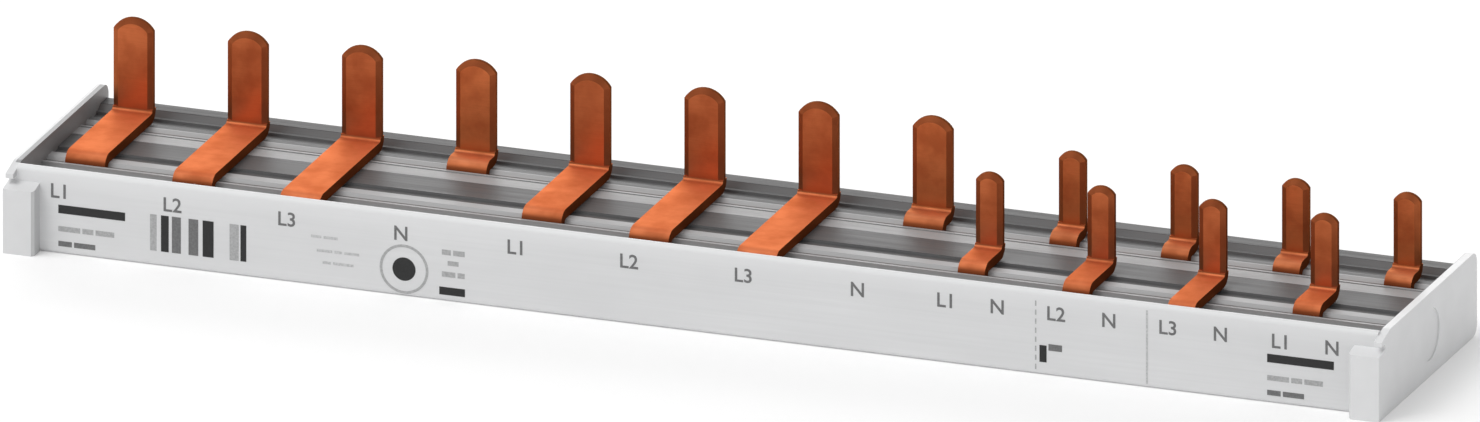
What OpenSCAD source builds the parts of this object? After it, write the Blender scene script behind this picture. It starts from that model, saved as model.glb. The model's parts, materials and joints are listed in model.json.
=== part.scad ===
// Comb busbar for three phases and neutral. A light grey trough holds four copper combs in slotted
// insulating strips, and a cap closes each end. Eight wide pins and four pairs of narrow pins stand up.
// X runs along the busbar, Y from the front wall to the back wall, and Z up along the pins.

/* [Pin spacing] */
// Number of wide pins, which take the phases and neutral in turn
wide_pins = 8; // [4:1:12]
// Distance between neighbouring wide pins
wide_pitch = 17.8; // [16:0.1:20]
// Number of pairs of narrow pins, each a phase and neutral
narrow_pairs = 4; // [3:1:6]
// Distance between neighbouring pairs of narrow pins
narrow_pitch = 17.4; // [16:0.1:20]
// Distance from the phase pin of a pair to its neutral pin
pair_gap = 8.2; // [7.5:0.1:10]
// Distance from the last wide pin to the first narrow one
group_gap = 13.6; // [12:0.1:16]
// Distance from the trough's left end to the first pin
start_margin = 6.5; // [5.5:0.1:9]
// Distance from the last pin to the trough's right end
end_margin = 7.1; // [5.5:0.1:9]

/* [Copper combs] */
// Thickness of the copper sheet
copper_t = 1.5; // [1.2:0.1:1.6]
// Height of the bar that the tongues grow from
bar_h = 7; // [5:0.5:9]
// Distance from one phase bar's front face to the next one's
bar_pitch = 3; // [2.8:0.1:4]
// Gap between a bar's end and the end cap
bar_end_gap = 1; // [0.4:0.1:2]
// Fillet where a tongue leaves its bar
root_fillet = 0.3; // [0.2:0.1:0.4]
// Inside radius of both bends in a tongue
bend_r = 0.5; // [0.3:0.1:0.8]
// Gap between a tongue's level foot and the strips that it lies over
foot_gap = 0.1; // [0.1:0.1:2]

/* [Pins] */
// Width of a wide pin
wide_w = 6.2; // [4.5:0.1:7]
// Height of a wide pin above its foot
wide_pin_h = 14.3; // [10:0.1:17]
// Width of a narrow pin
narrow_w = 4.2; // [3.5:0.1:4.8]
// Height of a narrow pin above its foot
narrow_pin_h = 11.5; // [8:0.1:14]
// Distance from the trough's front face to the rear row of pins
rear_row = 31.3; // [30.6:0.1:33]
// Distance from the trough's front face to the front row of pins
front_row = 18.5; // [16.5:0.1:21]
// Radius of the arched tip as a share of the pin's width
tip_share = 0.58; // [0.52:0.02:1]
// Width of the coined bevel round a pin
coin_w = 0.8; // [0.2:0.1:1]
// Depth of the coined bevel round a pin
coin_t = 0.4; // [0.15:0.05:0.5]

/* [Trough] */
// Thickness of the front wall
wall_t = 1.5; // [1.2:0.1:2]
// Height of the front wall above the insulating strips
wall_rise = 2.9; // [1.5:0.1:4]
// Thickness of the floor
floor_t = 1.3; // [1:0.1:2]
// Thickness of the back wall
back_t = 1.5; // [1.2:0.1:2]
// Rounding of the trough's bottom edges
bottom_r = 0.6; // [0.2:0.1:1]

/* [Insulating strips] */
// Space between the front wall and the first bar
front_space = 3.6; // [3.4:0.1:5]
// Web under each bar
web_t = 1; // [0.8:0.1:1.5]
// Depth of a bar's top edge below the top of its slot
bar_cover = 0.8; // [0.4:0.1:1.5]
// Lead-in bevel along the rear edge of each slot, which also clears the bend above it
slot_lead = 0.5; // [0.5:0.1:0.6]
// Wall thickness of the extruded strips
strip_wall = 1; // [0.8:0.05:1.1]
// Wall in front of the last phase slot
lead_wall = 0.5; // [0.3:0.1:0.6]
// Wall behind the last phase slot
phase_rib = 2.3; // [1.6:0.1:3]
// Depth of the lower dividers between the phase slots, below the strip's top
divider_drop = 0.7; // [0.3:0.1:0.8]
// Width of the centre spacer
centre_w = 8.4; // [6:0.1:11]
// Distance from the neutral strip's front face to the neutral bar
neutral_lead = 4.1; // [3.8:0.1:5]
// Gap that lets the neutral slot's front wall spring
spring_gap = 0.5; // [0.4:0.1:1]
// Spring wall in front of the neutral slot
spring_wall = 0.5; // [0.4:0.1:0.8]
// Wall behind the neutral slot
neutral_rib = 2.1; // [1.5:0.1:2.5]
// Width of the rear spacer inside the back wall
rear_w = 5.3; // [5:0.1:7]
// Width of the groove along the front of each spacer
groove_w = 2.4; // [1.5:0.1:2.6]
// Depth of the groove along the front of each spacer
groove_h = 0.4; // [0.2:0.1:1.2]
// Thickness of the rear spacer's flange over the back wall
flange_t = 0.9; // [0.7:0.1:1.5]
// Height of that flange above the strips
flange_rise = 0.7; // [0.2:0.1:1]
// Length of the slope up to that flange
flange_run = 1.2; // [0.4:0.1:1.4]
// Radius of the snap beads between the strips
bead_r = 0.4; // [0.2:0.05:0.5]

/* [End caps] */
// Thickness of a cap's plate
cap_t = 1.2; // [1:0.1:2]
// Thickness of the lip in front of the front wall
lip_t = 2.7; // [1.2:0.1:3]
// Reach of both lips over the trough
lip_reach = 3.6; // [3:0.1:5]
// Height of the front wall that stays free above the front lip
lip_drop = 3; // [2.4:0.1:4]
// Slope of the lip's top from front to back
lip_slope = 0.6; // [0.2:0.1:1]
// Chamfer along the lip's inner edge
lip_chamfer = 0.4; // [0.2:0.1:1.1]
// Thickness of the lip behind the back wall
back_lip_t = 0.8; // [0.6:0.1:1.5]
// Height of the nose at the top of the plate's front edge
nose_h = 1.7; // [1.3:0.1:2]
// Reach of that nose in front of the trough
nose_t = 1.5; // [0.5:0.1:2]
// Drop of the plate's top edge at the nose
nose_drop = 1; // [0.4:0.1:1.2]
// Length of the sloped top edge behind the trough's front face
nose_run = 2.2; // [1:0.1:4]
// Rounding of the plate's rear corners
cap_r = 1.8; // [0.4:0.1:2]
// Length of the spigots that plug into the hollow strips
spigot_len = 5; // [3:0.5:8]
// Chamfer round a spigot's tip
spigot_chamfer = 0.3; // [0.2:0.1:0.4]
// Radius of the round gate recess in the plate
gate_r = 4; // [2:0.1:5]
// Depth of the round gate recess
gate_depth = 0.25; // [0.1:0.05:0.4]

/* [Clearances] */
// Clearance on each side of a bar in its slot
slot_clear = 0.1; // [0.05:0.05:0.15]
// Clearance between neighbouring strips, and between strips and walls
strip_clear = 0.1; // [0.05:0.05:0.2]
// Clearance round a spigot
spigot_clear = 0.15; // [0.05:0.05:0.25]

/* [Hidden] */
$fn = 64;

// Each of two neighbouring pieces gives half of the clearance between them
half_gap = strip_clear / 2;

// Levels above the ground
bar_z = floor_t + web_t;
bar_top = bar_z + bar_h;
strip_top = bar_top + bar_cover;
wall_h = strip_top + wall_rise;
foot_top = strip_top + foot_gap + copper_t;
bead_z = bar_z + bar_h / 2;

// Front faces of the bars, in the trough's own frame
l3_y = wall_t + front_space;
l2_y = l3_y + bar_pitch;
l1_y = l2_y + bar_pitch;

// Borders between the strips, from front to back
centre_y = l1_y + copper_t + slot_clear + phase_rib;
neutral_strip_y = centre_y + centre_w;
neutral_y = neutral_strip_y + neutral_lead;
rear_y = neutral_y + copper_t + slot_clear + neutral_rib;
back_y = rear_y + rear_w;
body_d = back_y + back_t;
flange_y = back_y - half_gap - strip_wall;

// Pin positions along the trough
narrow_start = start_margin + (wide_pins - 1) * wide_pitch + group_gap;
body_len = narrow_start + (narrow_pairs - 1) * narrow_pitch + pair_gap + end_margin;
PHASES = 3;
WIDE_CYCLE = 4;
function wide_x(i) = start_margin + i * wide_pitch;
function pair_x(j) = narrow_start + j * narrow_pitch;

// The origin is under the middle of the whole part, caps and lips included
mid_y = (body_d + back_lip_t - lip_t) / 2;

outer_bend = bend_r + copper_t;
lip_top = wall_h - lip_drop;
shelf_top = strip_top - groove_h;
// Cuts and overlaps run past a face by this much
past = 1;

module placed() translate([-body_len / 2, -mid_y, 0]) children();

// Extrudes a Y-Z section along the trough
module along(from, to) translate([from, 0, 0]) rotate([90, 0, 90]) linear_extrude(to - from) children();

module span(y0, y1, z0, z1) translate([y0, z0]) square([y1 - y0, z1 - z0]);

// What lies between a square corner at the origin, with sides along +X and +Y, and a round one.
// It rounds an outer corner when it is taken away, and fills an inner one when it is added.
module corner(r) difference() {
    translate([-past, -past]) square(r + past);
    translate([r, r]) circle(r);
}

// Trough
module bead(y) translate([y, bead_z]) circle(bead_r);

module groove(y) translate([y, bead_z]) circle(bead_r + half_gap);

module housing_section() difference() {
    union() {
        span(0, body_d, 0, floor_t);
        span(0, wall_t, 0, wall_h - wall_t / 2);
        translate([wall_t / 2, wall_h - wall_t / 2]) circle(d = wall_t);
        span(back_y, body_d, 0, strip_top + flange_rise - flange_t);
        bead(wall_t);
        bead(back_y);
    }
    corner(bottom_r);
    translate([body_d, 0]) mirror([1, 0]) corner(bottom_r);
}

module housing() color("#dddfe1") placed() along(0, body_len) housing_section();

// Insulating strips
module slot(y) {
    rear = y + copper_t + slot_clear;
    span(y - slot_clear, rear, bar_z, strip_top + past);
    polygon([[y, strip_top - slot_lead], [rear, strip_top - slot_lead],
        [rear + slot_lead + past, strip_top + past], [y, strip_top + past]]);
}

module phase_section() difference() {
    union() {
        span(wall_t + half_gap, centre_y - half_gap, floor_t, strip_top);
        bead(centre_y - half_gap);
    }
    slot(l3_y);
    slot(l2_y);
    slot(l1_y);
    // The dividers in front of the last slot stay lower than its own front wall
    span(l3_y, l1_y - slot_clear - lead_wall, strip_top - divider_drop, strip_top + past);
    span(wall_t + half_gap + strip_wall, l3_y - slot_clear - strip_wall,
        floor_t + strip_wall, strip_top - strip_wall);
    groove(wall_t);
}

module neutral_section() difference() {
    union() {
        span(neutral_strip_y + half_gap, rear_y - half_gap, floor_t, strip_top);
        bead(neutral_strip_y + half_gap);
        bead(rear_y - half_gap);
    }
    slot(neutral_y);
    span(neutral_y - slot_clear - spring_wall - spring_gap, neutral_y - slot_clear - spring_wall,
        bar_z, strip_top + past);
    span(neutral_strip_y + half_gap + strip_wall,
        neutral_y - slot_clear - spring_wall - spring_gap - strip_wall,
        floor_t + strip_wall, strip_top - strip_wall);
}

// A box section whose front part is lower by the groove along the spacer
module stepped(y0, y1, z0, step_y, low, high) {
    span(y0, y1, z0, low);
    span(step_y, y1, z0, high);
}

module spacer_section(y0, y1) difference() {
    stepped(y0 + half_gap, y1 - half_gap, floor_t, y0 + groove_w, shelf_top, strip_top);
    spacer_chamber(y0, y1);
    groove(y0 + half_gap);
}

// The hollow inside a spacer
module spacer_chamber(y0, y1) stepped(
    y0 + half_gap + strip_wall, y1 - half_gap - strip_wall, floor_t + strip_wall,
    y0 + groove_w + strip_wall, shelf_top - strip_wall, strip_top - strip_wall);

module phase_insulator() color("#b9bbbe") placed() along(0, body_len) phase_section();

module neutral_insulator() color("#b9bbbe") placed() along(0, body_len) neutral_section();

module centre_spacer() color("#6a6d71") placed() along(0, body_len) difference() {
    spacer_section(centre_y, neutral_strip_y);
    groove(neutral_strip_y - half_gap);
}

module rear_spacer() color("#6a6d71") placed() along(0, body_len) difference() {
    union() {
        spacer_section(rear_y, back_y);
        span(flange_y, body_d, strip_top + flange_rise - flange_t, strip_top + flange_rise);
        polygon([
            [flange_y - flange_run, strip_top], [flange_y, strip_top], [flange_y, strip_top + flange_rise]]);
    }
    groove(back_y);
}

// Copper combs. A tongue is a bent sheet that starts inside its bar, stamped to an outline and coined.
module tongue_section(bar_y, pin_y, h) difference() {
    union() {
        span(bar_y, bar_y + copper_t, bar_z, foot_top);
        span(bar_y, pin_y + copper_t, foot_top - copper_t, foot_top);
        span(pin_y, pin_y + copper_t, foot_top - copper_t, foot_top + h);
        translate([bar_y + copper_t, foot_top - copper_t]) mirror([0, 1]) corner(bend_r);
        translate([pin_y, foot_top]) mirror([1, 0]) corner(bend_r);
    }
    translate([bar_y, foot_top]) mirror([0, 1]) corner(outer_bend);
    translate([pin_y + copper_t, foot_top - copper_t]) mirror([1, 0]) corner(outer_bend);
}

// Elevation of a tongue, with a fillet on each side where it leaves its bar
module stamped_outline(w, h) {
    translate([-w / 2, bar_z - past]) square([w, foot_top + h + 2 * past - bar_z]);
    for (side = [0, 1]) mirror([side, 0]) translate([w / 2, bar_top]) corner(root_fillet);
}

// The coining tool's bevels run on past both faces of the sheet, by this share of a bevel
bevel_past = 0.5;

// The coined edge at this distance from a pin's middle
function coined_edge(reach) = [
    [reach - (1 + bevel_past) * coin_w, -bevel_past * coin_t], [reach, coin_t],
    [reach, copper_t - coin_t], [reach - (1 + bevel_past) * coin_w, copper_t + bevel_past * coin_t]];

function mirrored(points) = [for (i = [len(points) - 1 : -1 : 0]) [-points[i].x, points[i].y]];

// Space that the coining tool leaves to a pin, from the foot's top up to an arched tip
module coined_space(w, h) {
    tip_r = tip_share * w;
    intersection() {
        linear_extrude(h) polygon(concat(coined_edge(w / 2), mirrored(coined_edge(w / 2))));
        union() {
            translate([-w, -past, -past]) cube([2 * w, copper_t + 2 * past, h - tip_r + past]);
            translate([0, 0, h - tip_r]) rotate([-90, 0, 0]) rotate_extrude() polygon(concat(
                [[0, -bevel_past * coin_t]], coined_edge(tip_r), [[0, copper_t + bevel_past * coin_t]]));
        }
    }
}

module tongue(x, bar_y, pin_y, w, h) translate([x, 0, 0]) intersection() {
    along(-w, w) tongue_section(bar_y, pin_y, h);
    translate([0, body_d, 0]) rotate([90, 0, 0]) linear_extrude(body_d) stamped_outline(w, h);
    union() {
        translate([-w, 0, 0]) cube([2 * w, body_d, foot_top + bend_r]);
        translate([0, pin_y, foot_top]) coined_space(w, h);
    }
}

module bar(y) along(bar_end_gap, body_len - bar_end_gap) span(y, y + copper_t, bar_z, bar_top);

module wide_tongues(turn, bar_y) for (i = [turn : WIDE_CYCLE : wide_pins - 1])
    tongue(wide_x(i), bar_y, rear_row, wide_w, wide_pin_h);

module narrow_tongues(turn, bar_y) for (j = [turn : PHASES : narrow_pairs - 1])
    tongue(pair_x(j), bar_y, front_row, narrow_w, narrow_pin_h);

module phase_comb(turn, bar_y) color("#b9622f") placed() {
    bar(bar_y);
    wide_tongues(turn, bar_y);
    narrow_tongues(turn, bar_y);
}

module phase_bar_l1() phase_comb(0, l1_y);

module phase_bar_l2() phase_comb(1, l2_y);

module phase_bar_l3() phase_comb(2, l3_y);

module neutral_bar() color("#b9622f") placed() {
    bar(neutral_y);
    wide_tongues(PHASES, neutral_y);
    for (j = [0 : narrow_pairs - 1])
        tongue(pair_x(j) + pair_gap, neutral_y, rear_row, narrow_w, narrow_pin_h);
}

// End caps
module plate_section() difference() {
    polygon([
        [-lip_t, 0], [-lip_t, lip_top], [0, lip_top + lip_slope], [0, wall_h - nose_h],
        [-nose_t, wall_h - nose_h], [-nose_t, wall_h - nose_drop], [nose_run, wall_h],
        [body_d + back_lip_t, wall_h], [body_d + back_lip_t, 0]]);
    translate([body_d + back_lip_t, 0]) mirror([1, 0]) corner(cap_r);
    translate([body_d + back_lip_t, wall_h]) mirror([1, 0]) mirror([0, 1]) corner(cap_r);
}

module front_lip() intersection() {
    along(-cap_t, lip_reach) polygon([
        [-lip_t, 0], [-lip_t, lip_top], [0, lip_top + lip_slope], [0, 0]]);
    linear_extrude(wall_h) polygon([
        [-cap_t, 0], [-cap_t, -lip_t], [lip_reach - lip_chamfer, -lip_t],
        [lip_reach, lip_chamfer - lip_t], [lip_reach, 0]]);
}

module back_lip() intersection() {
    along(-cap_t, lip_reach) difference() {
        span(body_d, body_d + back_lip_t, 0, lip_top);
        translate([body_d + back_lip_t, 0]) mirror([1, 0]) corner(cap_r);
    }
    linear_extrude(wall_h) polygon([
        [-cap_t, body_d], [-cap_t, body_d + back_lip_t], [lip_reach - back_lip_t, body_d + back_lip_t],
        [lip_reach, body_d]]);
}

// A block with a chamfered tip that fills a hollow of the given size
module spigot(y0, y1, z0, z1) {
    tip = spigot_len - spigot_chamfer;
    intersection() {
        along(-past / 2, spigot_len) span(y0, y1, z0, z1);
        linear_extrude(wall_h) polygon([
            [-past / 2, y0], [tip, y0], [spigot_len, y0 + spigot_chamfer],
            [spigot_len, y1 - spigot_chamfer], [tip, y1], [-past / 2, y1]]);
    }
}

module spigots() {
    spigot(
        wall_t + half_gap + strip_wall + spigot_clear, l3_y - slot_clear - strip_wall - spigot_clear,
        floor_t + strip_wall + spigot_clear, strip_top - strip_wall - spigot_clear);
    spacer_spigot(centre_y, neutral_strip_y);
    spacer_spigot(rear_y, back_y);
}

module spacer_spigot(y0, y1) spigot(
    y0 + half_gap + strip_wall + spigot_clear, y1 - half_gap - strip_wall - spigot_clear,
    floor_t + strip_wall + spigot_clear, shelf_top - strip_wall - spigot_clear);

module cap() difference() {
    union() {
        along(-cap_t, 0) plate_section();
        front_lip();
        back_lip();
        spigots();
    }
    along(-cap_t - past, gate_depth - cap_t) translate([body_d / 2, wall_h / 2]) circle(gate_r);
}

module end_cap_left() color("#e4e6e8") placed() cap();

module end_cap_right() color("#e4e6e8") placed() translate([body_len, 0, 0]) mirror([1, 0, 0]) cap();

housing();
phase_insulator();
centre_spacer();
neutral_insulator();
rear_spacer();
phase_bar_l1();
phase_bar_l2();
phase_bar_l3();
neutral_bar();
end_cap_left();
end_cap_right();
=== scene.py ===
"""Looks of the comb busbar: finishes, printed marks, floor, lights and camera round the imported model."""

import json
import math
from collections import namedtuple

import bmesh
import bpy
from mathutils import Matrix, Vector


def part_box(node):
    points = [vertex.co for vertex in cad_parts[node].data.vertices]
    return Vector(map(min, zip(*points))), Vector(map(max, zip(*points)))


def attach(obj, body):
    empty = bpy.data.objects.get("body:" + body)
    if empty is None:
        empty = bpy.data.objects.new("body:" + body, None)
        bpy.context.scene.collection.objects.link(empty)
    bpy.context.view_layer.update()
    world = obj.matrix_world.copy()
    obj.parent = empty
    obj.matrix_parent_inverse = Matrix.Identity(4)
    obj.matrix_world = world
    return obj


MM = 0.001

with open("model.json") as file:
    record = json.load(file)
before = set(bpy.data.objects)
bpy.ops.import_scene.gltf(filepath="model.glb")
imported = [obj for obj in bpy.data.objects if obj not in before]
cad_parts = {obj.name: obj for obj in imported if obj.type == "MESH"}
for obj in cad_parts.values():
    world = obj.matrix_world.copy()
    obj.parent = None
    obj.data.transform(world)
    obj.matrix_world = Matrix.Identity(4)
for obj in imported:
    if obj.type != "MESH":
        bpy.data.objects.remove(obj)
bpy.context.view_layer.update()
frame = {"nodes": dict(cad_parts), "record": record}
SCENE = bpy.context.scene
# Lower left front corner of the trough: places in millimetres are counted from it, as on a drawing
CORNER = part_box("housing")[0]
TROUGH_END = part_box("housing")[1]
TROUGH_LENGTH = (TROUGH_END.x - CORNER.x) / MM
# The pins' places, by the names of their mounts
PINS = {mount["name"]: mount["pos_m"] for mount in frame["record"]["mounts"] if "_pin_" in mount["name"]}

# Camera: a parallel view of the photograph's frame, whose width is in pixels. Angles are in degrees.
IMAGE_WIDTH = 1480
VIEW_AZIMUTH = 20.27
VIEW_ELEVATION = 19.5
PIXELS_PER_MM = 6.836
# The point at the middle of the picture, from the corner, and how far the camera stands from it, in metres
VIEW_CENTRE = Vector((112.79, 0, 19.64)) * MM
VIEW_DISTANCE = 0.9

# Floor: its half width in metres, its colour, and how much it glows where the camera sees it, which makes
# it white in the picture and leaves the shadow
FLOOR_HALF = 3.0
FLOOR_COLOUR = (0.95, 0.95, 0.95, 1)
FLOOR_GLOW = 0.13

# Strength of the light from all sides, and the direction of the lamp at the upper left
WORLD_STRENGTH = 0.46
KEY_DIRECTION = Vector((-0.5, -0.44, 1))

# How much more green and blue than red is in every grey
COOL_GREEN = 1.004
COOL_BLUE = 1.012

# Greys of the plastics on screen, from 0 to 255. A front grey is painted light: a lighter grey for the
# faces that look to the front, in the shade of grooves and slots.
HOUSING_GREY = 233
# The two caps are one plastic: the right one's lighter grey is painted light on its outer side, away from
# the lamp
LEFT_CAP_GREY = 228
RIGHT_CAP_LIT_GREY = 237
# Painted shade on the caps' insides
CAP_INSIDE_SHADE_GREY = 158
PHASE_STRIP_GREY = 173
NEUTRAL_STRIP_GREY = 166
NEUTRAL_STRIP_FRONT_LIT_GREY = 185
CENTRE_SPACER_GREY = 91
CENTRE_SPACER_FRONT_LIT_GREY = 125
REAR_SPACER_GREY = 101
REAR_SPACER_FRONT_LIT_GREY = 120

# A stretch of another grey, painted light in some places and painted shade in others: it starts at a place
# along an axis, in millimetres from the corner, and fades in over this length before and after it
PaintedBand = namedtuple("PaintedBand", "axis place fade grey")
# Painted highlight: a lighter grey on the walls above this height, at their rim
HOUSING_RIM_HIGHLIGHT = PaintedBand("Z", 11, 1.2, 237)
# Painted shadow of the front wall: the phase strip keeps its darker grey in front of this place, and is
# lighter past it
PHASE_STRIP_PAST_WALL_SHADOW = PaintedBand("Y", 12.4, 0.7, 181)
# Painted shade: a darker grey on the back of the neutral strip
NEUTRAL_STRIP_REAR_SHADE = PaintedBand("Y", 29.9, 0.05, 100)
# Painted shade: a darker grey on the rear spacer's crest over the back wall
REAR_SPACER_CREST_SHADE = PaintedBand("Z", 10.75, 0.02, 76)

# Caps, in millimetres from the corner: the lip ends just before the front wall. The painted shade on the
# caps' insides starts behind the wall, and lies between two places along the busbar: one outside the
# trough, one in it.
LIP_BACK = -0.05
WALL_BACK = 1.5
INSIDE_SHADE_REACH = 0.6
LEFT_INSIDE_SHADE = (-0.75, INSIDE_SHADE_REACH)
RIGHT_INSIDE_SHADE = (TROUGH_LENGTH - INSIDE_SHADE_REACH, TROUGH_LENGTH + 0.05)

# Copper as (r, g, b) on screen: level feet and upright pins, and the pins just above their feet. The feet's
# lighter tones are painted light on the level faces. The neutral pins mirror the grey strips, where the
# phase pins mirror their feet, so theirs are lighter tones, painted light that makes up for what they
# mirror.
PHASE_COPPER = {
    "lit_foot_clean": (238, 146, 99),
    "lit_foot_tarnished": (226, 131, 84),
    "pin_clean": (209, 116, 71),
    "pin_tarnished": (184, 97, 57),
    "pin_lower_painted": (188, 127, 90),
}
NEUTRAL_COPPER_LIT = {
    "lit_foot_clean": (225, 148, 105),
    "lit_foot_tarnished": (213, 133, 90),
    "pin_clean": (228, 129, 78),
    "pin_tarnished": (201, 108, 63),
    "pin_lower_painted": (212, 133, 82),
}
# Edges that the press sheared or coined, and painted shade on the bars' edges, the tongues' fronts, the
# bends and the pins' roots
COPPER_SHEARED_AND_SHADE = (120, 62, 36)
# What copper turns to at a glancing angle, which keeps its sheen warm
COPPER_GLANCE = (255, 214, 186)
# Heights on the copper, in millimetres from the corner: first the upper side of the feet
FOOT_TOP = 11.7
# The tone of the lower pin fades out round this height, over this length below and above it
LOWER_PIN_MIDDLE = FOOT_TOP + 1.5
LOWER_PIN_FADE = 3
# What faces upward above this height is the tip of a pin
TIPS_ABOVE = FOOT_TOP + 3
# What faces the front below this height is a tongue under its foot, which gets painted shade
TONGUE_BELOW = FOOT_TOP - 0.25
TONGUE_FADE = 0.2
# What faces upward below this height is the edge of a bar, which gets painted shade
BAR_EDGE_BELOW = 9.5
# Painted shade reaches this far from the bend at a pin's root, darkens it by this share, and in the front
# row starts this far before the first pin
ROOT_SHADE_REACH = 1.6
ROOT_SHADE_SHARE = 0.45
ROOT_SHADE_MARGIN = 3

# Inks, as greys on screen, and the thickness of their film in millimetres
INK_GREYS = {"dark": 48, "mid": 118, "pale": 178, "faint": 200}
INK_THICKNESS = 0.03

# Terminal marks: the letters' height and the height of their middle, in millimetres from the corner, as
# for all print below. Boldness is a share of the letters' size.
MARK_HEIGHT = 2.2
MARK_Z = 9.7
MARK_BOLDNESS = 0.012

# Panels near both ends: a bar above two lines of small print
PANEL_LEFTS = (6.5, 195.0)
PANEL_BAR_WIDTH = 10.4
PANEL_BAR_Z = (6.3, 7.6)

# Small print is rows of plain blocks, with this gap between two of them
BLOCK_GAP = 0.35
Line = namedtuple("Line", "left bottom height lengths ink")
SMALL_PRINT = [
    *(Line(left, 3.5, 0.8, (3.4, 1.7, 2.9), "pale") for left in PANEL_LEFTS),
    *(Line(left, 1.2, 0.8, (2.1, 3.3), "mid") for left in PANEL_LEFTS),
    Line(45.9, 7.4, 0.4, (1.6, 2.2), "faint"),
    Line(46.8, 5.3, 0.4, (2.4, 1.2, 2.3), "faint"),
    Line(47.7, 3.5, 0.4, (1.3, 3.2), "faint"),
    Line(66.3, 7.2, 0.8, (1.4, 1.8), "pale"),
    Line(67.2, 5.6, 0.7, (1.7,), "pale"),
    Line(66.3, 3.8, 0.8, (2.1, 1.1), "pale"),
]

# Upright stripes beside the left panel
Stripe = namedtuple("Stripe", "left width ink")
STRIPE_Z = (2.3, 7.9)
STRIPES = (
    Stripe(20.8, 1.0, "pale"),
    Stripe(22.5, 1.2, "dark"),
    Stripe(24.2, 1.4, "mid"),
    Stripe(26.8, 1.5, "mid"),
    Stripe(29.0, 1.7, "dark"),
    Stripe(33.2, 1.4, "pale"),
    Stripe(34.9, 0.9, "dark"),
)

# A ring round a dot, and the number of sides that both have
RING_CENTRE = (60.4, 4.2)
RING_OUTER = 3.8
RING_INNER = 3.4
DOT_RADIUS = 1.8
ROUND_STEPS = 48

# Single blocks
Block = namedtuple("Block", "left right bottom top ink")
BLOCKS = (
    Block(65.9, 69.9, 1.0, 2.2, "dark"),
    Block(176.1, 176.4, 0.6, 12, "faint"),
    Block(159.5, 160.6, 2.0, 4.6, "dark"),
    Block(160.9, 163.0, 3.9, 4.9, "mid"),
)

# An upright dashed line: its sides, the foot of its lowest dash, and the dashes' length, pitch and count
DASH_X = (158.8, 159.0)
DASH_FIRST = 0.8
DASH_LENGTH = 0.8
DASH_PITCH = 1.4
DASH_COUNT = 8
DASH_BOTTOMS = [DASH_FIRST + i * DASH_PITCH for i in range(DASH_COUNT)]


def srgb(r, g, b):
    """Linear colour of an 8-bit screen colour."""

    def lin(c):
        c /= 255
        return c / 12.92 if c <= 0.04045 else ((c + 0.055) / 1.055) ** 2.4

    return (lin(r), lin(g), lin(b), 1.0)


def grey(level, shade=1.0):
    """Linear colour of a slightly cool grey, where shade makes it darker or lighter."""
    red = srgb(level, level, level)[0] * shade
    return (red, red * COOL_GREEN, red * COOL_BLUE, 1.0)


def view_direction(azimuth, elevation):
    """Unit vector from the object to a camera at these angles in degrees."""
    a, e = math.radians(azimuth), math.radians(elevation)
    return Vector((math.sin(a) * math.cos(e), -math.cos(a) * math.cos(e), math.sin(e)))


def pin_place(mount_name):
    """Where a pin stands, as (x, y) in millimetres from the corner."""
    x, y, _ = PINS[mount_name]
    return (x - CORNER.x) / MM, (y - CORNER.y) / MM


def add_camera():
    """A parallel camera that sees what the photograph shows."""
    data = bpy.data.cameras.new("camera")
    data.type = "ORTHO"
    data.ortho_scale = IMAGE_WIDTH / PIXELS_PER_MM * MM
    data.clip_start, data.clip_end = 0.01, 10
    cam = bpy.data.objects.new("camera", data)
    back = view_direction(VIEW_AZIMUTH, VIEW_ELEVATION)
    cam.location = CORNER + VIEW_CENTRE + back * VIEW_DISTANCE
    cam.rotation_mode = "QUATERNION"
    cam.rotation_quaternion = (-back).to_track_quat("-Z", "Y")
    SCENE.collection.objects.link(cam)
    SCENE.camera = cam


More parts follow.
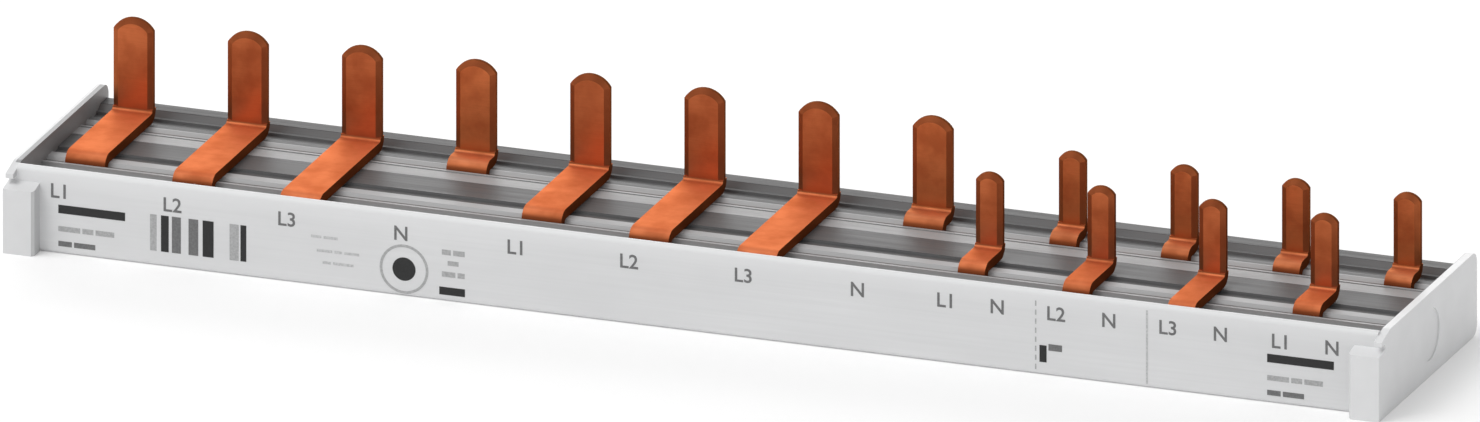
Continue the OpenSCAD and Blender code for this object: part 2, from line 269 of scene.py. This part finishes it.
class Nodes:
    """Short names for building one material's node tree. Lengths are in millimetres."""

    def __init__(self, name):
        self.material = bpy.data.materials.new(name)
        self.material.use_nodes = True
        self.tree = self.material.node_tree
        self.shader = self.tree.nodes["Principled BSDF"]
        place = self.tree.nodes.new("ShaderNodeTexCoord")
        self.coords = place.outputs["Object"]
        self.normal = place.outputs["Normal"]

    def put(self, socket, value):
        if isinstance(value, bpy.types.NodeSocket):
            self.tree.links.new(value, socket)
        else:
            socket.default_value = value

    def node(self, kind, *inputs, **settings):
        """A new node with its inputs in order and its settings by name."""
        made = self.tree.nodes.new("ShaderNode" + kind)
        for key, value in settings.items():
            setattr(made, key, value)
        for socket, value in zip(made.inputs, inputs):
            self.put(socket, value)
        return made

    def set(self, **values):
        """Sets inputs of the shader, whose names have an underscore for each space here."""
        for key, value in values.items():
            self.put(self.shader.inputs[key.replace("_", " ")], value)

    def math(self, operation, *inputs):
        return self.node("Math", *inputs, operation=operation).outputs[0]

    def times(self, a, b):
        return self.math("MULTIPLY", a, b)

    def inverse(self, mask):
        """1 where the mask is 0, and 0 where it is 1."""
        return self.math("SUBTRACT", 1.0, mask)

    def largest(self, first, *others):
        for other in others:
            first = self.math("MAXIMUM", first, other)
        return first

    def ramp(self, value, low, high, to_low=0.0, to_high=1.0):
        """Value's stretch from low to high, carried over to to_low .. to_high."""
        return self.node("MapRange", value, low, high, to_low, to_high).outputs[0]

    def spread(self, noise, to_low=0.0, to_high=1.0):
        """The stretch in which most of a noise lies, carried over to to_low .. to_high."""
        return self.ramp(noise, 0.3, 0.7, to_low, to_high)

    def noise(self, cell, along=1, detail=2.0):
        """Noise from 0 to 1 with cells of this size, and this many times longer along the busbar."""
        scaled = self.node("Mapping", self.coords)
        sizes = (cell * MM * along, cell * MM, cell * MM)
        scaled.inputs["Scale"].default_value = [1 / size for size in sizes]
        made = self.node("TexNoise")
        self.put(made.inputs["Vector"], scaled.outputs[0])
        self.put(made.inputs["Scale"], 1.0)
        self.put(made.inputs["Detail"], detail)
        return made.outputs[0]

    def mix(self, share, low, high):
        """Colour between low and high."""
        made = self.node("Mix", data_type="RGBA")
        self.put(made.inputs["Factor"], share)
        self.put(made.inputs["A"], low)
        self.put(made.inputs["B"], high)
        return made.outputs["Result"]

    def axis(self, vector, name):
        return self.node("SeparateXYZ", vector).outputs[name]

    def beyond(self, axis, place, fade=0.02):
        """1 past this place along an axis from the corner, else 0, and between them within the fade."""
        at = getattr(CORNER, axis.lower()) + place * MM
        return self.ramp(self.axis(self.coords, axis), at - fade * MM, at + fade * MM)

    def near(self, y, z, reach):
        """1 on the line along the busbar at y and z from the corner, falling to 0 at this reach."""
        line = (0, CORNER.y + y * MM, CORNER.z + z * MM)
        offset = self.node("VectorMath", self.coords, line, operation="SUBTRACT").outputs["Vector"]
        across = self.node("VectorMath", offset, (0, 1, 1), operation="MULTIPLY").outputs["Vector"]
        distance = self.node("VectorMath", across, operation="LENGTH").outputs["Value"]
        return self.ramp(distance, 0, reach * MM, 1, 0)

    def edges(self, radius):
        """1 along sharp edges and 0 on flat ground."""
        rounded = self.node("Bevel", radius * MM, samples=4).outputs[0]
        flat = self.node("NewGeometry").outputs["True Normal"]
        facing = self.node("VectorMath", rounded, flat, operation="DOT_PRODUCT").outputs["Value"]
        return self.ramp(facing, 0.995, 0.9)

    def bump(self, *layers):
        """Stacks (height, depth) layers, and gives the shader's normal."""
        normal = None
        for height, depth in layers:
            made = self.node("Bump")
            self.put(made.inputs["Height"], height)
            made.inputs["Distance"].default_value = depth * MM
            if normal:
                self.put(made.inputs["Normal"], normal)
            normal = made.outputs[0]
        self.put(self.shader.inputs["Normal"], normal)


def extruded(name, level, front_lit_level=None, painted_band=None):
    """Extruded plastic: faint die lines along the profile, cloudy tone, and rubbed edges.

    Where it has one, the front level is painted light: a lighter grey on the steps and slot sides that face
    the front, in their shade. The band is a stretch of painted light or painted shade, as each band is.
    """
    n = Nodes(name)
    cloud = n.noise(cell=9, along=3, detail=4)
    lines = n.noise(cell=0.45, along=60, detail=3)
    pores = n.noise(cell=0.12)
    base = n.mix(n.spread(cloud), grey(level, 0.955), grey(level, 1.03))
    surface = n.mix(n.ramp(lines, 0.35, 0.75, 0, 0.5), base, grey(level, 0.93))
    if front_lit_level:
        # Painted light: a lighter grey on the faces that look to the front
        surface = n.mix(n.ramp(n.axis(n.normal, "Y"), -0.3, -0.8), surface, grey(front_lit_level))
    # Painted light and shade: a band of another grey past a place
    if painted_band:
        surface = n.mix(n.beyond(painted_band.axis, painted_band.place, painted_band.fade), surface, grey(painted_band.grey))
    rubbed = n.times(n.edges(radius=0.18), n.ramp(cloud, 0.35, 0.65, 0.15, 0.6))
    n.set(
        Base_Color=n.mix(rubbed, surface, grey(level, 1.12)),
        Roughness=n.spread(lines, 0.44, 0.58),
        Specular_IOR_Level=0.3,
    )
    n.bump((lines, 0.012), (pores, 0.004))
    return n.material


def moulded(name, level, inward, shade_from, shade_to):
    """Moulded cap: spark-eroded grain, and painted shade on its inside, between two places along the
    busbar.

    Inward is 1 for a cap whose inner side faces along X, and -1 for one that faces the other way.
    """
    n = Nodes(name)
    cloud = n.noise(cell=6, detail=4)
    grain = n.noise(cell=0.16, detail=3)
    rubbed = n.times(n.edges(radius=0.2), n.ramp(cloud, 0.35, 0.65, 0.2, 0.7))
    outside = n.mix(n.spread(cloud), grey(level, 0.965), grey(level, 1.02))
    outside = n.mix(rubbed, outside, grey(level, 1.06))
    # Painted shade on the sides of the lip that face along the wall, in the corner with it
    facing = n.ramp(n.times(n.axis(n.normal, "X"), inward), 0.4, 0.9)
    lip_side_shade = n.times(facing, n.inverse(n.beyond("Y", LIP_BACK)))
    outside = n.mix(lip_side_shade, outside, grey(level, 0.74))
    # Painted shade: a darker grey on the cap's inside, behind the front wall
    inside_shade_tone = n.mix(n.spread(grain), grey(CAP_INSIDE_SHADE_GREY, 0.8), grey(CAP_INSIDE_SHADE_GREY, 1.15))
    between = n.math("SUBTRACT", n.beyond("X", shade_from), n.beyond("X", shade_to))
    inside_shade = n.times(between, n.beyond("Y", WALL_BACK))
    n.set(
        Base_Color=n.mix(inside_shade, outside, inside_shade_tone),
        Roughness=n.spread(grain, 0.36, 0.5),
        Specular_IOR_Level=0.45,
    )
    n.bump((cloud, 0.02), (grain, 0.006))
    return n.material


def pin_root_shade(n):
    """Painted shade in the bends below the rear row of pins, and below the front row, which starts farther
    along.
    """
    rear_y = pin_place("wide_pin_1_l1")[1]
    front_x, front_y = pin_place("narrow_pin_1_l1")
    front_row = n.times(n.near(front_y, FOOT_TOP, ROOT_SHADE_REACH), n.beyond("X", front_x - ROOT_SHADE_MARGIN))
    return n.times(n.largest(n.near(rear_y, FOOT_TOP, ROOT_SHADE_REACH), front_row), ROOT_SHADE_SHARE)


def worked_edges_and_shade(n, upward, level):
    """1 where the press sheared or coined the sheet, and where painted shade lies: fully on the bars'
    edges, less on the tongues' fronts, at the pins' roots and on the bends.
    """
    sideways = n.ramp(n.math("ABSOLUTE", n.axis(n.normal, "X")), 0.1, 0.75)
    forward = n.math("ABSOLUTE", n.axis(n.normal, "Y"))
    tip = n.times(n.ramp(upward, 0.1, 0.55), n.beyond("Z", TIPS_ABOVE))
    # Painted shade on the bends, whose faces look both forward and up
    bend_shade = n.ramp(n.times(forward, upward), 0.15, 0.45, 0, 0.12)
    # Painted shade on the fronts of the tongues under the feet
    below_foot = n.inverse(n.beyond("Z", TONGUE_BELOW, TONGUE_FADE))
    tongue_front_shade = n.times(n.ramp(forward, 0.4, 0.9, 0, 0.8), below_foot)
    # Painted shade on the bars' edges in their slots
    bar_edge_shade = n.times(level, n.inverse(n.beyond("Z", BAR_EDGE_BELOW)))
    return n.largest(pin_root_shade(n), sideways, tip, bend_shade, tongue_front_shade, bar_edge_shade)


def copper_face(n, tones, patches, grain, upward, level):
    """Clean and tarnished copper, in the tones of the level feet, lighter as painted light, and of the
    upright pins.
    """
    tone = {place: srgb(*colour) for place, colour in tones.items()}
    clean = n.mix(level, tone["pin_clean"], tone["lit_foot_clean"])
    tarnished = n.mix(level, tone["pin_tarnished"], tone["lit_foot_tarnished"])
    face = n.mix(n.ramp(patches, 0.38, 0.68), clean, tarnished)
    face = n.mix(n.ramp(grain, 0.4, 0.8, 0, 0.35), face, tarnished)
    # A less red tone painted just above the foot, which offsets the copper mirrored there in copper
    lower = n.math("SUBTRACT", n.beyond("Z", FOOT_TOP), n.beyond("Z", LOWER_PIN_MIDDLE, LOWER_PIN_FADE))
    return n.mix(n.times(lower, n.ramp(upward, 0.6, 0.1)), face, tone["pin_lower_painted"])


def copper(name, tones):
    """Rolled copper sheet: grain along the strip, patchy tarnish, dark sheared and coined edges, and
    painted light and shade: lighter feet, darker bends, tongue fronts and bar edges.
    """
    n = Nodes(name)
    patches = n.noise(cell=3.5, detail=5)
    grain = n.noise(cell=0.14, along=25, detail=3)
    upward = n.axis(n.normal, "Z")
    # 1 on the feet and 0 on the pins, whose lighter tones it gives the feet as painted light
    level = n.ramp(upward, 0.4, 0.9)
    face = copper_face(n, tones, patches, grain, upward, level)
    worked_and_shade = worked_edges_and_shade(n, upward, level)
    # The feet are matter than the pins, which the press has polished
    roughness = n.math("ADD", n.spread(patches, 0.42, 0.54), n.times(level, 0.2))
    n.set(
        Base_Color=n.mix(worked_and_shade, face, srgb(*COPPER_SHEARED_AND_SHADE)),
        Metallic=1.0,
        Specular_Tint=srgb(*COPPER_GLANCE),
        Roughness=n.largest(roughness, n.times(worked_and_shade, 0.65)),
    )
    n.bump((patches, 0.03), (grain, 0.004))
    return n.material


def ink(name, level):
    """Printed ink: a thin matt film, a little uneven."""
    n = Nodes(name)
    film = n.noise(cell=0.3, detail=4)
    n.set(
        Base_Color=n.mix(n.ramp(film, 0.35, 0.7), grey(level, 0.9), grey(level, 1.2)),
        Roughness=n.spread(film, 0.5, 0.65),
        Specular_IOR_Level=0.3,
    )
    n.bump((film, 0.004))
    return n.material


def finish_nodes():
    """Gives each solid its finish. The three phase bars share one."""
    phase_copper = copper("phase_copper", PHASE_COPPER)
    wears = {
        "housing": extruded("housing_plastic", HOUSING_GREY, painted_band=HOUSING_RIM_HIGHLIGHT),
        "end_cap_left": moulded("left_cap_plastic", LEFT_CAP_GREY, 1, *LEFT_INSIDE_SHADE),
        "end_cap_right": moulded("right_cap_lit_plastic", RIGHT_CAP_LIT_GREY, -1, *RIGHT_INSIDE_SHADE),
        "phase_insulator": extruded("phase_strip_plastic", PHASE_STRIP_GREY, painted_band=PHASE_STRIP_PAST_WALL_SHADOW),
        "neutral_insulator": extruded(
            "neutral_strip_plastic", NEUTRAL_STRIP_GREY, NEUTRAL_STRIP_FRONT_LIT_GREY, NEUTRAL_STRIP_REAR_SHADE
        ),
        "centre_spacer": extruded("centre_spacer_plastic", CENTRE_SPACER_GREY, CENTRE_SPACER_FRONT_LIT_GREY),
        "rear_spacer": extruded(
            "rear_spacer_plastic", REAR_SPACER_GREY, REAR_SPACER_FRONT_LIT_GREY, REAR_SPACER_CREST_SHADE
        ),
        "phase_bar_l1": phase_copper,
        "phase_bar_l2": phase_copper,
        "phase_bar_l3": phase_copper,
        "neutral_bar": copper("neutral_copper_lit", NEUTRAL_COPPER_LIT),
    }
    for name, material in wears.items():
        mesh = frame["nodes"][name].data
        mesh.materials.clear()
        mesh.materials.append(material)


def add_print(name, bm, material):
    """Makes a piece of flat shapes drawn in X and Z, in millimetres, and lays it on the front wall."""
    onto_wall = Matrix.Translation(CORNER) @ Matrix.Scale(MM, 4)
    bm.transform(onto_wall)
    mesh = bpy.data.meshes.new(name)
    bm.to_mesh(mesh)
    bm.free()
    mesh.materials.append(material)
    piece = bpy.data.objects.new(name, mesh)
    SCENE.collection.objects.link(piece)
    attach(piece, "root")


def plate(bm, outline):
    """Adds a film of ink with this outline of (x, z) points."""
    face = bm.faces.new([bm.verts.new((x, -INK_THICKNESS, z)) for x, z in outline])
    raised = bmesh.ops.extrude_face_region(bm, geom=[face])["geom"]
    moved = [v for v in raised if isinstance(v, bmesh.types.BMVert)]
    bmesh.ops.translate(bm, verts=moved, vec=(0, INK_THICKNESS, 0))
    bmesh.ops.recalc_face_normals(bm, faces=bm.faces)


def bar(bm, x0, x1, z0, z1):
    """Adds a rectangle of ink between these places."""
    plate(bm, [(x0, z0), (x1, z0), (x1, z1), (x0, z1)])


def round_points(x, z, radius):
    """Points on a circle round (x, z)."""
    turns = [2 * math.pi * i / ROUND_STEPS for i in range(ROUND_STEPS)]
    return [(x + radius * math.cos(turn), z + radius * math.sin(turn)) for turn in turns]


def ring(bm, x, z, outer, inner):
    """Adds a flat ring as one closed band."""
    bands = []
    for y in (-INK_THICKNESS, 0):
        for radius in (outer, inner):
            bands.append([bm.verts.new((px, y, pz)) for px, pz in round_points(x, z, radius)])
    front_out, front_in, back_out, back_in = bands
    for a, b in ((front_out, front_in), (front_in, back_in), (back_in, back_out), (back_out, front_out)):
        for i in range(ROUND_STEPS):
            j = (i + 1) % ROUND_STEPS
            bm.faces.new((a[i], a[j], b[j], b[i]))
    bmesh.ops.recalc_face_normals(bm, faces=bm.faces)


def word(bm, text, x, z, height):
    """Adds plain upright letters, centred at x and z."""
    curve = bpy.data.curves.new("mark", "FONT")
    curve.body = text
    # Any thickness does, because each side is moved to its depth below
    curve.extrude = 0.5
    curve.offset = MARK_BOLDNESS
    curve.resolution_u = 4
    carrier = bpy.data.objects.new("mark", curve)
    mesh = bpy.data.meshes.new_from_object(carrier)
    letters = bmesh.new()
    letters.from_mesh(mesh)
    bmesh.ops.remove_doubles(letters, verts=letters.verts, dist=1e-4)
    xs = [v.co.x for v in letters.verts]
    ys = [v.co.y for v in letters.verts]
    size = height / (max(ys) - min(ys))
    centre_x, centre_y = (max(xs) + min(xs)) / 2, (max(ys) + min(ys)) / 2
    for v in letters.verts:
        flat_x, flat_y, side = v.co
        depth = -INK_THICKNESS if side > 0 else 0
        v.co = (x + (flat_x - centre_x) * size, depth, z + (flat_y - centre_y) * size)
    letters.to_mesh(mesh)
    letters.free()
    bm.from_mesh(mesh)
    bpy.data.objects.remove(carrier)
    bpy.data.meshes.remove(mesh)


def add_terminal_marks(material):
    """L1, L2, L3 and N under their pins. The last part of a mount's name is its terminal."""
    bm = bmesh.new()
    for name in PINS:
        terminal = name.rsplit("_", 1)[1].upper()
        word(bm, terminal, pin_place(name)[0], MARK_Z, MARK_HEIGHT)
    add_print("terminal_marks", bm, material)


def small_print(bm, line):
    """Adds a row of plain blocks that stands for a line of small print."""
    left = line.left
    for length in line.lengths:
        bar(bm, left, left + length, line.bottom, line.bottom + line.height)
        left += length + BLOCK_GAP


def add_panels(inks):
    """Plain bars, stripes and a ring, where the wall carries print: one piece for each ink."""
    drawn = {name: bmesh.new() for name in inks}
    for left in PANEL_LEFTS:
        bar(drawn["dark"], left, left + PANEL_BAR_WIDTH, *PANEL_BAR_Z)
    for stripe in STRIPES:
        bar(drawn[stripe.ink], stripe.left, stripe.left + stripe.width, *STRIPE_Z)
    for line in SMALL_PRINT:
        small_print(drawn[line.ink], line)
    ring(drawn["pale"], *RING_CENTRE, RING_OUTER, RING_INNER)
    plate(drawn["dark"], round_points(*RING_CENTRE, DOT_RADIUS))
    for block in BLOCKS:
        bar(drawn[block.ink], block.left, block.right, block.bottom, block.top)
    for bottom in DASH_BOTTOMS:
        bar(drawn["pale"], *DASH_X, bottom, bottom + DASH_LENGTH)
    for name, bm in drawn.items():
        add_print("print_" + name, bm, inks[name])


def add_floor():
    """A white floor that takes the shadow of the object."""
    mesh = bpy.data.meshes.new("floor")
    corners = [(-1, -1), (1, -1), (1, 1), (-1, 1)]
    mesh.from_pydata([(x * FLOOR_HALF, y * FLOOR_HALF, 0) for x, y in corners], [], [(0, 1, 2, 3)])
    floor = bpy.data.objects.new("floor", mesh)
    SCENE.collection.objects.link(floor)
    n = Nodes("floor")
    rays = n.node("LightPath").outputs
    seen = n.largest(rays["Is Camera Ray"], rays["Is Glossy Ray"], rays["Is Transmission Ray"])
    n.set(
        Base_Color=FLOOR_COLOUR,
        Roughness=1.0,
        Specular_IOR_Level=0.0,
        Emission_Color=(1, 1, 1, 1),
        Emission_Strength=n.times(seen, FLOOR_GLOW),
    )
    mesh.materials.append(n.material)


def add_area(name, direction, distance, width, height, power):
    """Adds a soft box that faces the object from this direction. Lengths are in metres, power in watts."""
    data = bpy.data.lights.new(name, "AREA")
    data.shape = "RECTANGLE"
    data.size, data.size_y = width, height
    data.energy = power
    lamp = bpy.data.objects.new(name, data)
    lamp.location = direction.normalized() * distance
    lamp.rotation_mode = "QUATERNION"
    lamp.rotation_quaternion = (-direction).to_track_quat("-Z", "Y")
    lamp.visible_camera = False
    SCENE.collection.objects.link(lamp)


def add_lights():
    """Even light from all sides, a lamp at the upper left and one behind the object."""
    world = bpy.data.worlds.new("world")
    SCENE.world = world
    world.use_nodes = True
    background = world.node_tree.nodes["Background"]
    background.inputs["Color"].default_value = (1, 1, 1, 1)
    background.inputs["Strength"].default_value = WORLD_STRENGTH
    add_area("key", KEY_DIRECTION, distance=2.5, width=1.6, height=1.6, power=31)
    # Stands where level copper mirrors it towards the camera
    mirrored = view_direction(VIEW_AZIMUTH, VIEW_ELEVATION) * Vector((-1, -1, 1))
    add_area("back_sheen", mirrored, distance=1.2, width=1.8, height=0.6, power=8.5)


add_camera()
add_floor()
add_lights()
finish_nodes()
INKS = {name: ink("ink_" + name, level) for name, level in INK_GREYS.items()}
add_terminal_marks(INKS["mid"])
add_panels(INKS)
SCENE.view_settings.view_transform = "Standard"
